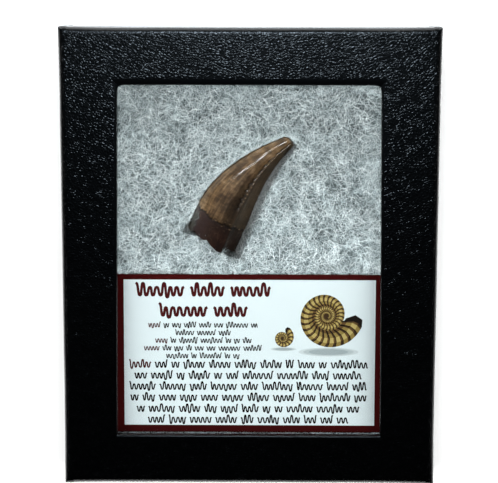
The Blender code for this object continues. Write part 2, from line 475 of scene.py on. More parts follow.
def makeFloor():
    # white laminate with a matt moulded face: an even ground, nearly white
    deselectAll()
    bpy.ops.mesh.primitive_plane_add(size=studio["floorSize"], location=(0, 0, 0))
    floor = bpy.context.object
    floor.name = "floor"
    material, tree, shader = newMaterial("mattWhiteLaminate", {"Roughness": 0.6})
    place = addNode(tree, "TexCoord")
    cloud = addNode(tree, "TexNoise", {"Scale": 6.0, "Detail": 2.0}, {"Vector": (place, "Object")})
    tone = addNode(tree, "ValToRGB", {"steps": studio["floorTones"]}, {"Fac": (cloud, "Fac")})
    feed(tree, tone, "Color", shader, "Base Color")
    dress(floor, material)


def makeSky():
    # a dim, pale wall all round that fades to black overhead, so that the box's face mirrors nothing bright
    world = bpy.data.worlds.new("studioSky")
    bpy.context.scene.world = world
    world.use_nodes = True
    tree = world.node_tree
    background = tree.nodes["Background"]
    low, high = studio["skyFades"]
    place = addNode(tree, "TexCoord")
    split = addNode(tree, "SeparateXYZ", links={0: (place, "Generated")})
    strength = addNode(
        tree,
        "MapRange",
        {"From Min": low, "From Max": high, "To Min": studio["skyHorizon"], "To Max": studio["skyTop"]},
        {"Value": (split, "Z")},
    )
    feed(tree, strength, 0, background, "Strength")
    background.inputs["Color"].default_value = linear(studio["skyColour"])


def chosenPieces(title, prefixes, state):
    # a collection of the pieces whose names start so, marked for a lamp's linking
    chosen = bpy.data.collections.new(title)
    for item in bpy.data.objects:
        if item.type == "MESH" and item.name.startswith(prefixes):
            chosen.objects.link(item)
    for entry in chosen.collection_objects:
        entry.light_linking.link_state = state
    return chosen


def makeLights():
    for name, lamp in studio["lamps"].items():
        deselectAll()
        aim = Vector(lamp["aim"]) - Vector(lamp["place"])
        turn = aim.to_track_quat("-Z", "Y").to_euler()
        bpy.ops.object.light_add(type="AREA", location=lamp["place"], rotation=turn)
        made = bpy.context.object
        made.name = name
        made.data.shape = "RECTANGLE"
        made.data.size, made.data.size_y = lamp["size"]
        made.data.spread = math.radians(lamp.get("spread", 180))
        made.data.energy = lamp["watts"]
        made.data.color = linear(lamp.get("colour", "#ffffff"))[:3]
        made.visible_camera = False
        made.visible_glossy = lamp.get("inGloss", True)
        linking = made.light_linking
        if "lightsOnly" in lamp:
            linking.receiver_collection = chosenPieces(name + "Lights", lamp["lightsOnly"], "INCLUDE")
        else:
            linking.receiver_collection = chosenPieces(name + "Spares", lamp["spares"], "EXCLUDE")
        if "shadesOnly" in lamp:
            linking.blocker_collection = chosenPieces(name + "Shades", lamp["shadesOnly"], "INCLUDE")


def makeCamera():
    turn = (
        Matrix.Rotation(math.radians(photoView["roll"]), 4, "Z")
        @ Matrix.Rotation(math.radians(photoView["tilt"]), 4, "X")
        @ Matrix.Rotation(math.radians(photoView["turn"]), 4, "Y")
    )
    deselectAll()
    bpy.ops.object.camera_add(location=photoView["place"], rotation=turn.transposed().to_euler())
    camera = bpy.context.object
    camera.name = "photoCamera"
    camera.data.sensor_fit = "HORIZONTAL"
    camera.data.lens = photoView["focalPixels"] / photoView["pictureWidth"] * camera.data.sensor_width
    camera.data.clip_start = 0.01
    bpy.context.scene.camera = camera
    bpy.context.scene.view_settings.view_transform = "Standard"


makeFloor()
makeSky()
makeCamera()
print("floor, sky and camera made")


# the lid
lidBox = [np.array(corner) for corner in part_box("lid")]
lid = {
    "topWidth": 109.8 * mm,
    "footWidth": 108.8 * mm,
    "length": 134.2 * mm,
    "dish": 0.25 * mm,
    "dishPower": 8,
    "fold": 1.3 * mm,  # as in the CAD solid; the covering is folded tighter, most so at the sides
    "sideFold": 0.65 * mm,
    "endFold": 1.1 * mm,
    "foldPower": 1.35,  # 1 is a flat slope between face and wall, 2 a quarter circle
    "rim": 2.1 * mm,  # where the face starts to sink towards the fold
    "rimSinks": 0.13,  # times the square of the distance past that, in mm
    "windowTopWidth": 75.6 * mm,
    "windowWidens": 1.5 * mm,
    "windowLength": 102.4 * mm,
    "windowMiddle": (-0.2 * mm, -0.9 * mm),
    "rollWide": 1.9 * mm,  # the covering's smooth roll into the window's upper edge
    "rollSide": 0.75 * mm,  # and into its other edges
    "rollDeep": 0.34 * mm,
    "rollSideDeep": 0.4,  # as a share of the upper edge's
    "handmade": 0.05 * mm,  # how far the covering wanders from the straight
    "flapReach": 2.5 * mm,  # how far the sides' covering laps round each corner onto the end walls
    "flapThick": 0.16 * mm,
    "windowCut": 0.9 * mm,  # how far along its edges the covering spans each upper corner of the window
    "windowRows": (1.0, 2.2, 4.5, 9.0),  # mm out from the window, rows of points that hold its shape
    "crisp": 38,  # degrees; sharper bends keep their edges
}


def fromWindow(places):
    # each place from the window's middle, and half the window's width and length there
    x, y = places[:, 0] - lid["windowMiddle"][0], places[:, 1] - lid["windowMiddle"][1]
    halfLength = lid["windowLength"] / 2
    halfWidth = lid["windowTopWidth"] / 2 + lid["windowWidens"] / 2 * (halfLength - y) / (2 * halfLength)
    return x, y, halfWidth, halfLength


def windowReach(places):
    # how far each place lies outside the window's edge, and which edge is nearest: 0 sides, 1 top, 2 foot
    x, y, halfWidth, halfLength = fromWindow(places)
    reach = np.stack([np.abs(x) - halfWidth, y - halfLength, -y - halfLength])
    return reach.max(axis=0), reach.argmax(axis=0)


def lidInsets(places):
    # how far each place lies inside the lid's outline, from its sides and from its ends
    down = np.clip(0.5 - places[:, 1] / lid["length"], 0, 1)
    half = (lid["topWidth"] + (lid["footWidth"] - lid["topWidth"]) * down) / 2
    sideDish = lid["dish"] * (1 - np.abs(2 * down - 1) ** lid["dishPower"])
    endDish = lid["dish"] * (1 - np.minimum(np.abs(places[:, 0]) / half, 1) ** lid["dishPower"])
    return half - sideDish - np.abs(places[:, 0]), lid["length"] / 2 - endDish - np.abs(places[:, 1])


def cutLid(made):
    # rows of points close to the window's edges and to the corners' flaps
    cuts = []
    for out in lid["windowRows"]:
        for side in (-1, 1):
            across = lid["windowMiddle"][0] + side * (lid["windowTopWidth"] / 2 + out * mm)
            along = lid["windowMiddle"][1] + side * (lid["windowLength"] / 2 + out * mm)
            cuts += [((across, 0, 0), (1, 0, 0)), ((0, along, 0), (0, 1, 0))]
    for side in (-1, 1):
        for step in (0.0, 0.3, 1.2):
            flap = side * (lid["topWidth"] / 2 - lid["flapReach"] - (step - 0.15) * mm)
            cuts.append(((flap, 0, 0), (1, 0, 0)))
        cuts.append(((0, side * (lid["length"] / 2 - 2.6 * mm), 0), (0, 1, 0)))
    pick(made)
    editMode(True)
    for place, normal in cuts:
        bpy.ops.mesh.select_all(action="SELECT")
        bpy.ops.mesh.bisect(plane_co=place, plane_no=normal)
    bpy.ops.mesh.select_all(action="DESELECT")
    bpy.ops.mesh.select_mode(type="EDGE")
    bpy.ops.mesh.edges_select_sharp(sharpness=math.radians(lid["crisp"]))
    bpy.ops.transform.edge_crease(value=1.0)
    bpy.ops.mesh.select_mode(type="FACE")
    editMode(False)


def makeLid():
    made = nodeCopy("lid", "coveredLid")
    cutLid(made)
    applyModifier(made, "SUBSURF", levels=2, render_levels=2)
    places = corners(made)
    top = lidBox[1][2]
    # the fold: a slope between two tight bends, as board covered by paper has
    fold, power = lid["fold"], lid["foldPower"]
    sideInset, endInset = lidInsets(places)
    inset, depth = np.minimum(sideInset, endInset), top - places[:, 2]
    u, v = 1 - inset / fold, 1 - depth / fold
    onFold = (u > 0.001) & (v > 0.001)
    bend = np.ones(len(places))
    bend[onFold] = np.hypot(u[onFold], v[onFold]) / (u[onFold] ** power + v[onFold] ** power) ** (1 / power)
    byEnd = ease(-0.6 * mm, 0.6 * mm, sideInset - endInset)
    tight = lid["sideFold"] + (lid["endFold"] - lid["sideFold"]) * byEnd
    newInset = np.where(onFold, tight * (1 - u * bend), inset)
    places[:, 2] = np.where(onFold, top - tight * (1 - v * bend), places[:, 2])
    past = np.clip(lid["rim"] - np.maximum(newInset, 0), 0, None)
    places[:, 2] -= lid["rimSinks"] * past**2 / mm * (1 - ease(2 * mm, 5 * mm, depth))
    for axis, ownInset in ((0, sideInset), (1, endInset)):
        nearest = ownInset - inset < 0.02 * mm
        further = newInset - ownInset
        moved = np.where(onFold, np.where(nearest, further, np.maximum(further, 0)), 0)
        places[:, axis] -= np.sign(places[:, axis]) * moved
    # the window's upper edge: a wide smooth roll; its other edges: a narrow one
    reach, edge = windowReach(places)
    face = ease(top - 1.2 * mm, top - 0.4 * mm, places[:, 2])
    wide = np.where(edge == 1, lid["rollWide"], lid["rollSide"])
    roll = np.clip(1 - reach / wide, 0, 1) ** 2 * face
    places[:, 2] -= roll * np.where(edge == 1, lid["rollDeep"], lid["rollDeep"] * lid["rollSideDeep"])
    # the covering spans the window's upper corners a little
    x, y, halfWidth, halfLength = fromWindow(places)
    inX, inY, cut = halfWidth - np.abs(x), halfLength - np.abs(y), lid["windowCut"]
    short = np.clip(cut - np.maximum(inX, 0) - np.maximum(inY, 0), 0, None)
    atCorner = (inX < cut) & (inY < cut) & (np.minimum(inX, inY) < 0.2 * mm) & (y > 0)
    atCorner &= (inX > -0.4 * mm) & (inY > -0.4 * mm)
    for axis, centred in ((0, x), (1, y)):
        places[:, axis] -= np.sign(centred) * np.where(atCorner, short * 0.5, 0)
    # flaps of the sides' covering, lapped round onto the end walls: the rest of the end wall stands back
    sideInset, endInset = lidInsets(places)
    beyondFlap = ease(lid["flapReach"] - 0.1 * mm, lid["flapReach"] + 0.08 * mm, sideInset)
    onEnd = (1 - ease(0.9 * mm, 1.5 * mm, endInset)) * (endInset < 1.45 * mm)
    places[:, 1] -= np.sign(places[:, 1]) * beyondFlap * onEnd * lid["flapThick"]
    outside = ease(3 * mm, 9 * mm, reach)
    for axis, seed in ((0, 3), (1, 4)):
        inwards = -np.sign(places[:, axis]) * outside
        places[:, axis] += inwards * lid["handmade"] * (1 + wander(places, 24 * mm, seed)) / 2
    moveCorners(made, places)
    pick(made)
    bpy.ops.object.shade_smooth_by_angle(angle=math.radians(lid["crisp"]))
    # the grain fades where the covering is stretched over the folds and rolled into the window
    grain = ease(0.55, 1.2, reach / wide)
    rim = np.minimum(*lidInsets(places))
    slope = 1 - ease(tight, tight + 0.3 * mm, rim)
    slope *= 1 - ease(1.6 * mm, 4 * mm, top - places[:, 2])
    shine = np.exp(-(((rim - tight - 0.35 * mm) / (0.35 * mm)) ** 2)) * byEnd * (depth < 2 * mm)
    pointValues(made, "grain", grain * (1 - 0.85 * slope) * (1 - 0.5 * shine))
    dress(made, makeLeatherette())
    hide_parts("lid")
    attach(made, "root")
    print("lid faces", len(made.data.polygons))


makeLid()
print("lid made")


# tray and pane keep their solids
def finishTray():
    tray = frame["nodes"]["tray"]
    dress(tray, makeTrayPaper())


def finishPane():
    dress(frame["nodes"]["glass"], makePaneGlass())


finishTray()
finishPane()


# the tooth
tooth = {
    "bulgingEdge": [(-18.3, 8.4), (-14.2, 19.2), (-8.5, 27.4), (9.3, 34.8)],  # mm, base to tip
    "hollowEdge": [(-4.3, 1.4), (1.5, 12.9), (2.3, 22.0), (12.6, 32.3)],
    "baseHalf": 4.7 * mm,
    "tipHalf": 1.5 * mm,
    "baseHeight": 9.5 * mm,
    "tipHeight": 10.9 * mm,
    "thinningPower": 1.5,
    "tipRound": 1.1 * mm,
    "ridgeAngle": 61.0,
    "ridgeProud": 0.05,
    "ridgeWidth": 0.12,
    "flankCrown": 0.35,
    "length": 36.0 * mm,
    "girth": 6 * mm,  # its mean radius, which turns angles round it into lengths
    "breakAcross": [
        -1.0, -0.88, -0.8, -0.74, -0.6, -0.45, -0.25, -0.2, 0.05, 0.36, 0.5, 0.6, 0.66, 0.7, 0.86, 1.0
    ],
    "breakOut": [-0.2, 0.4, 0.3, -0.4, 0.2, 0.7, 0.7, 0.2, 1.2, 2.0, 1.7, 0.7, 0.1, 0.9, 1.2, 0.3],
    "breakFades": 0.22,
    "hollowDepth": 0.7 * mm,
    "spokes": 168,
    "rings": 300,
    "tipRings": 22,
    "baseRings": 26,
    "fluteDeep": 0.014 * mm,
    "dentDeep": 0.03 * mm,
    "denticle": 0.55 * mm,  # the real ones are finer than the picture can show
    "denticleProud": 0.09 * mm,
    "chipLineDeep": 0.2 * mm,
    "crackAt": 0.162,  # where the cracked band lies, as a share of the length
    "crackWidth": 0.32 * mm,
    "crackDeep": 0.16 * mm,
    "stepDeep": 0.1 * mm,
    "rootRough": 0.03 * mm,
    "chipDeep": 0.75 * mm,
}


def cubic(points, t):
    a, b, c, d = (np.array(p)[None] * mm for p in points)
    t = t[:, None]
    return (1 - t) ** 3 * a + 3 * (1 - t) ** 2 * t * b + 3 * (1 - t) * t**2 * c + t**3 * d


def toothSection(angle):
    # a point of the section, on a unit circle but for the flank by the cutting edge, which is nearly flat
    ridge = math.radians(tooth["ridgeAngle"])
    across, up = np.cos(angle), np.sin(angle)
    share = np.clip(angle / ridge, 0, 1)
    flatAcross, flatUp = 1 - share * (1 - math.cos(ridge)), share * math.sin(ridge)
    crown = 1 + tooth["flankCrown"] * (1 / np.hypot(flatAcross, flatUp) - 1)
    flank = (angle > 0) & (angle < ridge)
    across, up = np.where(flank, flatAcross * crown, across), np.where(flank, flatUp * crown, up)
    proud = 1 + tooth["ridgeProud"] * np.exp(-(((angle - ridge) / tooth["ridgeWidth"]) ** 2))
    return across * proud, up * proud


def toothPlace(t, angle, narrow, forward):
    left, right = cubic(tooth["bulgingEdge"], t), cubic(tooth["hollowEdge"], t)
    middle, half = (left + right) / 2, (right - left) / 2
    bounded = np.clip(t, 0, 1)
    thinned = 1 - bounded ** tooth["thinningPower"]
    halfUp = tooth["tipHalf"] + (tooth["baseHalf"] - tooth["tipHalf"]) * thinned
    height = tooth["baseHeight"] + (tooth["tipHeight"] - tooth["baseHeight"]) * bounded
    across, up = toothSection(angle)
    ahead = np.stack([-half[:, 1], half[:, 0]], axis=1)
    ahead /= np.linalg.norm(ahead, axis=1)[:, None]
    flat = middle + half * (across * narrow)[:, None] + ahead * forward[:, None]
    return np.column_stack([flat, height + halfUp * up * narrow])


def breakShift(across):
    return -np.interp(across, tooth["breakAcross"], tooth["breakOut"]) * mm / tooth["length"]


def toothMarks(side, angle, baseShare, onSkin):
    # how much of each mark shows at each corner: cracks, chips, the darker root, the lost flake, and a
    # painted sheen on the root's left
    along, around = side[:, None] * tooth["length"], angle[:, None] * tooth["girth"]
    skin = np.column_stack([along, around])
    across = np.cos(angle)
    ridge = math.radians(tooth["ridgeAngle"])
    # a chipped line just beside the cutting edge
    ridgeSway = 0.03 * wander(along, 3.0 * mm, 7) + 0.03 * np.tanh(4 * wander(along, 1.5 * mm, 19))
    chipLine = np.exp(-(((angle - ridge - 0.1 - ridgeSway) / 0.06) ** 2))
    chipLine *= ease(0.26, 0.36, side) * (0.8 + 0.2 * np.tanh(3 * wander(along, 1.6 * mm, 8)))
    # the crack across, and the root below it
    crackPlace = tooth["crackAt"] + 0.055 * np.maximum(-across, 0) ** 1.5 + 0.02 * np.maximum(across, 0)
    crackPlace += 0.007 * wander(around, 2.6 * mm, 9) + 0.005 * wander(around, 0.8 * mm, 10)
    fromCrack = (side - crackPlace) * tooth["length"]
    crack = np.exp(-((fromCrack / tooth["crackWidth"]) ** 2)) * onSkin
    root = ease(0.5 * mm, -0.3 * mm, fromCrack + 0.35 * mm * wander(skin, 1.1 * mm, 14))
    # a flake lost from the bulging edge of the base
    flakeEdge = math.pi * 0.80 + 0.07 * wander(along, 3 * mm, 12)
    flake = ease(-0.05, 0.06, np.abs(angle) - flakeEdge) * (1 - ease(0.13, 0.19, side))
    flank = (1 - ease(ridge, ridge + 0.1, angle)) * (angle > -0.5) * (1 - 0.9 * root)
    # a hair crack along the middle, pale chips by the crack and the cutting edge, and the darker middle
    hairPlace = math.pi / 2 + 0.03 * wander(along, 9 * mm, 15)
    hair = np.exp(-(((angle - hairPlace) / 0.035) ** 2)) * ease(0.14, 0.2, side) * (1 - ease(0.55, 0.7, side))
    hair *= 0.6 + 0.4 * wander(along, 2.0 * mm, 16)
    chips = ease(0.75, 1.15, wander(skin, 1.0 * mm, 17)) * ease(-0.6, -0.2, across)
    chips *= np.exp(-((fromCrack / (0.9 * mm)) ** 2))
    edgeChips = ease(0.0, 0.7, wander(along, 0.9 * mm, 18)) * np.exp(-(((angle - ridge) / 0.04) ** 2))
    dusk = np.exp(-(((across - 0.32) / 0.42) ** 2)) * (1 - ease(0.4, 0.9, side)) * (angle > 0)
    return {
        "root": root,
        "crack": crack,
        "flake": flake,
        "broken": ease(0.0, 0.06, baseShare),
        "flank": flank,
        "chipLine": chipLine,
        "hair": np.clip(hair, 0, 1),
        "chips": np.clip(chips + 0.8 * edgeChips * ease(0.36, 0.45, side), 0, 1) * onSkin,
        "dusk": dusk,
        # a painted sheen: mauve-grey on the root's upper left side
        "rootLeft": root * ease(-0.05, -0.6, across) * (angle > 0),
    }


def toothRelief(marks, side, angle):
    # how far the skin stands out, or in where it is less than 0
    along, around = side[:, None] * tooth["length"], angle[:, None] * tooth["girth"]
    skin = np.column_stack([along, around])
    # uneven growth: long shallow flutes and dents
    lift = tooth["fluteDeep"] * wander(skin * np.array([0.16, 1.0]), 1.9 * mm, 5)
    lift += tooth["dentDeep"] * wander(skin, 7 * mm, 6)
    # saw teeth along the cutting edge
    saw = np.abs(np.mod(along[:, 0] / tooth["denticle"], 1) - 0.5) * 2
    onRidge = np.exp(-(((angle - math.radians(tooth["ridgeAngle"])) / 0.05) ** 2))
    onRidge *= ease(0.3, 0.42, side) * ease(0.0, 0.05, 1 - side)
    lift += tooth["denticleProud"] * (saw - 0.3) * onRidge
    lift -= tooth["chipLineDeep"] * marks["chipLine"]
    lift -= tooth["crackDeep"] * marks["crack"] * (0.6 + 0.4 * wander(around, 1.5 * mm, 11))
    # the root stands a little lower than the crown, and is rougher
    lift -= tooth["stepDeep"] * marks["root"]
    lift += tooth["rootRough"] * wander(skin, 1.3 * mm, 13) * marks["root"]
    return lift


def makeTooth():
    deselectAll()
    bpy.ops.mesh.primitive_uv_sphere_add(segments=tooth["spokes"], ring_count=tooth["rings"], calc_uvs=True)
    made = bpy.context.object
    made.name = "fossilTooth"
    ball = corners(made)
    ring = np.arccos(np.clip(ball[:, 2], -1, 1)) / math.pi * tooth["rings"]  # 0 at the tip's pole
    angle = np.arctan2(ball[:, 1], ball[:, 0]) - math.pi / 2
    angle = np.mod(angle + math.pi, 2 * math.pi) - math.pi  # the seam lies underneath
    baseStart = tooth["rings"] - tooth["baseRings"]
    side = np.clip((baseStart - ring) / (baseStart - tooth["tipRings"]), 0, 1)
    tipShare = np.clip(1 - ring / tooth["tipRings"], 0, 1)
    baseShare = np.clip((ring - baseStart) / tooth["baseRings"], 0, 1)
    across = np.cos(angle)
    fade = np.clip(1 - side / tooth["breakFades"], 0, 1) ** 2
    t = side + fade * breakShift(across) * (1 - 0.6 * baseShare)
    # the tip closes as a quarter circle, and the broken face dips to a shallow rough hollow
    narrow = np.cos(tipShare * math.pi / 2) * (1 - baseShare**0.8)
    rough = wander(np.column_stack([across * 4, np.sin(angle) * 4, baseShare * 5]), 2.5, 21)
    hollow = ease(0.04, 0.6, baseShare) * tooth["hollowDepth"] * (1 + 0.12 * rough * (1 - baseShare))
    forward = tooth["tipRound"] * np.sin(tipShare * math.pi / 2) + hollow
    places = toothPlace(t, angle, narrow, forward)
    outward = places - toothPlace(t, angle, narrow * 0, forward)
    outward /= np.maximum(np.linalg.norm(outward, axis=1), 1e-9)[:, None]
    marks = toothMarks(side, angle, baseShare, (tipShare <= 0) & (baseShare <= 0))
    places += outward * (toothRelief(marks, side, angle) * narrow)[:, None]
    places[:, 2] -= tooth["chipDeep"] * marks["flake"] * (1 - baseShare) * (angle > 0)
    moveCorners(made, places)
    faceOutwards(made)
    bpy.ops.object.shade_smooth_by_angle(angle=math.radians(50))
    for name, values in marks.items():
        pointValues(made, name, values)
    dress(made, makeEnamel())
    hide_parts("tooth")
    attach(made, "root")
    return made


enamel = {
    "roughness": 0.42,
    "gloss": 0.25,
    "coat": 0.7,
    "polish": 0.07,  # how rough the polished skin itself is
    "ior": 1.55,
    "streak": 0.5 * mm,
    "blotch": 4.0 * mm,
    "craze": 1.3 * mm,
    "relief": 0.03 * mm,
    "around": 36.0,  # mm round the base, which the UV map's width stands for
    "crown": [(0.38, "#2b1c0d"), (0.46, "#4b361f"), (0.54, "#745a3c"), (0.64, "#a3876a")],
    "marks": [
        # each covers what is above it in this list: its name, its colour or tones, and how much of it shows
        ("dusk", "#1a110a", 0.88),
        ("root", [(0.38, "#140806"), (0.55, "#27130d"), (0.7, "#402a20")], 0.95),
        # a painted sheen on the root's left, mauve-grey
        ("rootLeft", "#3d2c2e", 0.4),
        ("craze", "#8d7556", 0.22),
        ("flank", "#4a3e31", 0.72),
        ("hair", "#8d745a", 0.32),
        ("crack", "#0a0504", 0.92),
        ("chipLine", "#0c0604", 0.95),
        ("chips", "#a98f72", 0.6),
        ("flake", "#3c3b36", 0.85),
        ("broken", "#3a3029", 1.0),
    ],
}


def makeEnamel():
    # fossil enamel, stained brown in the ground and polished: glassy, streaked along the tooth and crazed
    material, tree, shader = newMaterial(
        "polishedFossilEnamel",
        {
            "IOR": enamel["ior"],
            "Specular IOR Level": enamel["gloss"],
            "Coat Weight": enamel["coat"],
            "Coat Roughness": enamel["polish"],
            "Coat IOR": enamel["ior"],
        },
    )
    uv = addNode(tree, "UVMap")
    place = addNode(tree, "TexCoord")
    around, along = enamel["around"], tooth["length"] / mm
    lengthways = addNode(tree, "Mapping", {"Scale": (around, along * 0.1, 1.0)}, {"Vector": (uv, "UV")})
    crossways = addNode(tree, "Mapping", {"Scale": (around * 0.12, along, 1.0)}, {"Vector": (uv, "UV")})
    squashed = addNode(tree, "Mapping", {"Scale": (around, along * 0.55, 1.0)}, {"Vector": (uv, "UV")})
    streaks = addNode(
        tree,
        "TexNoise",
        {"Scale": 0.8 * mm / enamel["streak"], "Detail": 6.0, "Roughness": 0.7, "Distortion": 0.25},
        {"Vector": (lengthways, 0)},
    )
    bands = addNode(
        tree, "TexNoise", {"Scale": 1.1, "Detail": 3.0, "Roughness": 0.6}, {"Vector": (crossways, 0)}
    )
    blotches = addNode(
        tree,
        "TexNoise",
        {"Scale": 1 / enamel["blotch"], "Detail": 5.0, "Roughness": 0.6},
        {"Vector": (place, "Object")},
    )
    banded = addNode(tree, "Mix", {"data_type": "FLOAT", 0: 0.3}, {2: (streaks, "Fac"), 3: (bands, "Fac")})
    mixture = addNode(tree, "Mix", {"data_type": "FLOAT", 0: 0.45}, {2: (banded, 0), 3: (blotches, "Fac")})
    craze = addNode(
        tree,
        "TexVoronoi",
        {"feature": "DISTANCE_TO_EDGE", "Scale": 1.0 * mm / enamel["craze"]},
        {"Vector": (squashed, 0)},
    )
    lines = addNode(
        tree,
        "MapRange",
        {"From Min": 0.0, "From Max": 0.045, "To Min": 1.0, "To Max": 0.0},
        {"Value": (craze, "Distance")},
    )
    patchy = addNode(
        tree,
        "MapRange",
        {"From Min": 0.5, "From Max": 0.62, "To Min": 0.0, "To Max": 1.0},
        {"Value": (blotches, "Fac")},
    )
    crazed = addNode(tree, "Math", {"operation": "MULTIPLY"}, {0: (lines, 0), 1: (patchy, 0)})
    last, lastOut = addNode(tree, "ValToRGB", {"steps": enamel["crown"]}, {"Fac": (mixture, 0)}), "Color"
    for mark, colour, share in enamel["marks"]:
        read = (crazed, 0)
        if mark != "craze":
            read = (addNode(tree, "Attribute", {"attribute_name": mark}), "Fac")
        amount = addNode(tree, "Math", {"operation": "MULTIPLY", 1: share}, {0: read})
        settings = {"data_type": "RGBA"}
        links = {0: (amount, 0), 6: (last, lastOut)}
        if isinstance(colour, str):
            settings[7] = linear(colour)
        else:
            links[7] = (addNode(tree, "ValToRGB", {"steps": colour}, {"Fac": (mixture, 0)}), "Color")
        last, lastOut = addNode(tree, "Mix", settings, links), 2
    feed(tree, last, lastOut, shader, "Base Color")
    rough = enamel["roughness"]
    gloss = addNode(
        tree,
        "MapRange",
        {"From Min": 0.3, "From Max": 0.7, "To Min": rough - 0.08, "To Max": rough + 0.1},
        {"Value": (streaks, "Fac")},
    )
    # the last mark read is the broken face, which is duller
    dulled = addNode(tree, "Math", {"operation": "MULTIPLY_ADD", 1: 0.4}, {0: read, 2: (gloss, 0)})
    feed(tree, dulled, 0, shader, "Roughness")
    grooves = addNode(
        tree, "Math", {"operation": "MULTIPLY_ADD", 1: -0.5}, {0: (crazed, 0), 2: (streaks, "Fac")}
    )
    bump = addNode(tree, "Bump", {"Strength": 0.5, "Distance": enamel["relief"]}, {"Height": (grooves, 0)})
    feed(tree, bump, "Normal", shader, "Normal")
    return material


toothPiece = makeTooth()
print("tooth made")


# the wadding
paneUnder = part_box("glass")[0][2]
cardBox = [np.array(corner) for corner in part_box("label_card")]
padBox = [np.array(corner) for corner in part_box("wadding")]
wadding = {
    "cell": 0.4 * mm,
    "top": paneUnder - 1.0 * mm,
    "lumps": [(0.3 * mm, 16 * mm, 30), (0.12 * mm, 5 * mm, 31)],  # height, width and seed
    "besideTooth": 0.15 * mm,
    "dipReach": 4.2 * mm,  # how far from the tooth the wadding is drawn down
    "dipRise": 5.2 * mm,  # how far it rises over that reach
    "dipPower": 2.3,
    "steep": 30,  # its slope under the tooth's widest line and against the broken end
    "underTooth": 0.12 * mm,
    "underCard": 0.25 * mm,
    "strands": [9700, 9700, 9700, 9400, 6500],  # in each layer, from the lowest up
    "strandField": ((-39.6 * mm, 39.4 * mm), 52.0 * mm),  # left and right, and upper end
    "hugging": 420,  # in each layer, along the tooth's outline
    "huggingCell": 0.6 * mm,  # one spot for them in each such square
    "belowCard": 1100,  # in the strip between the card and the window's lower edge
    "stripHalf": 38.5 * mm,
    "stripMiddle": -52.6 * mm,
    "stripFoot": -53.5 * mm,
    "points": 4,
    "strandLength": (1.8 * mm, 5.4 * mm),
    "strandHalf": (0.014 * mm, 0.046 * mm),
    "curl": 1.9 * mm,
    "seed": 40,
}


def bedHeights(xs, ys):
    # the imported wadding's height at each crossing of those lines
    skin = corners(toothPiece)[::5]
    onBreak = np.zeros(len(toothPiece.data.vertices))
    toothPiece.data.attributes["broken"].data.foreach_get("value", onBreak)
    gentle = (skin[:, 2] > tooth["baseHeight"] - 0.5 * mm) & (onBreak[::5] < 0.1)
    grid = np.stack(np.meshgrid(xs, ys), axis=-1).reshape(-1, 2)
    height = np.full(len(grid), wadding["top"])
    for lump, wide, seed in wadding["lumps"]:
        height += lump * wander(grid, wide, seed)
    low, high = skin[:, :2].min(axis=0) - 7 * mm, skin[:, :2].max(axis=0) + 7 * mm
    near = (grid > low).all(axis=1) & (grid < high).all(axis=1)
    for part in np.array_split(np.flatnonzero(near), 60):
        away = np.hypot(grid[part, None, 0] - skin[None, :, 0], grid[part, None, 1] - skin[None, :, 1])
        away -= wadding["besideTooth"]
        share = np.clip(away / wadding["dipReach"], 0, 1)
        rise = wadding["dipRise"] * (1 - (1 - share) ** wadding["dipPower"])
        rise = np.where(gentle[None], rise, wadding["steep"] * np.maximum(away, 0))
        allowed = (skin[None, :, 2] - wadding["underTooth"] + rise).min(axis=1)
        height[part] = np.minimum(height[part], allowed)
    cardMiddle, cardHalf = (cardBox[0] + cardBox[1]) / 2, (cardBox[1] - cardBox[0]) / 2
    besideCard = (np.abs(grid - cardMiddle[:2]) - cardHalf[:2]).max(axis=1)
    pressed = cardBox[0][2] - wadding["underCard"]
    height = np.where(besideCard < 0, np.minimum(height, pressed), height)
    return height.reshape(len(ys), len(xs))


def makeBed():
    # a fine grid raised into a slab, its underside one face, and its top moved to the heights
    low, high = padBox
    countX = round((high[0] - low[0]) / wadding["cell"])
    countY = round((high[1] - low[1]) / wadding["cell"])
    deselectAll()
    bpy.ops.mesh.primitive_grid_add(
        x_subdivisions=countX, y_subdivisions=countY, size=1, location=(*((low + high) / 2)[:2], low[2])
    )
    made = bpy.context.object
    made.name = "waddingBed"
    made.scale = (high[0] - low[0], high[1] - low[1], 1)
    settle(made)
    editMode(True)
    bpy.ops.mesh.select_all(action="SELECT")
    bpy.ops.mesh.extrude_region_move(TRANSFORM_OT_translate={"value": (0, 0, high[2] - low[2])})
    editMode(False)
    middle = (low[2] + high[2]) / 2
    selectFaces(made, lambda centre, normal: centre.z < middle and abs(normal.z) > 0.9)
    editMode(True)
    bpy.ops.mesh.dissolve_faces()
    editMode(False)
    faceOutwards(made)
    places = corners(made)
    xs = np.linspace(low[0], high[0], countX + 1)
    ys = np.linspace(low[1], high[1], countY + 1)
    heights = bedHeights(xs, ys)
    column = np.rint((places[:, 0] - low[0]) / (high[0] - low[0]) * countX).astype(int)
    row = np.rint((places[:, 1] - low[1]) / (high[1] - low[1]) * countY).astype(int)
    upper = places[:, 2] > middle
    places[upper, 2] = heights[row[upper], column[upper]]
    moveCorners(made, places)
    pick(made)
    bpy.ops.object.shade_smooth_by_angle(angle=math.radians(60))
    dress(made, makeBedFibre())
    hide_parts("wadding")
    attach(made, "root")
    return xs, ys, heights


def heightAt(bed, x, y):
    # the bed's height between its grid's crossings
    xs, ys, heights = bed
    column = np.clip((x - xs[0]) / (xs[1] - xs[0]), 0, len(xs) - 1.001)
    row = np.clip((y - ys[0]) / (ys[1] - ys[0]), 0, len(ys) - 1.001)
    i, j = column.astype(int), row.astype(int)
    u, v = column - i, row - j
    lower = heights[j, i] * (1 - u) + heights[j, i + 1] * u
    upper = heights[j + 1, i] * (1 - u) + heights[j + 1, i + 1] * u
    return lower * (1 - v) + upper * v


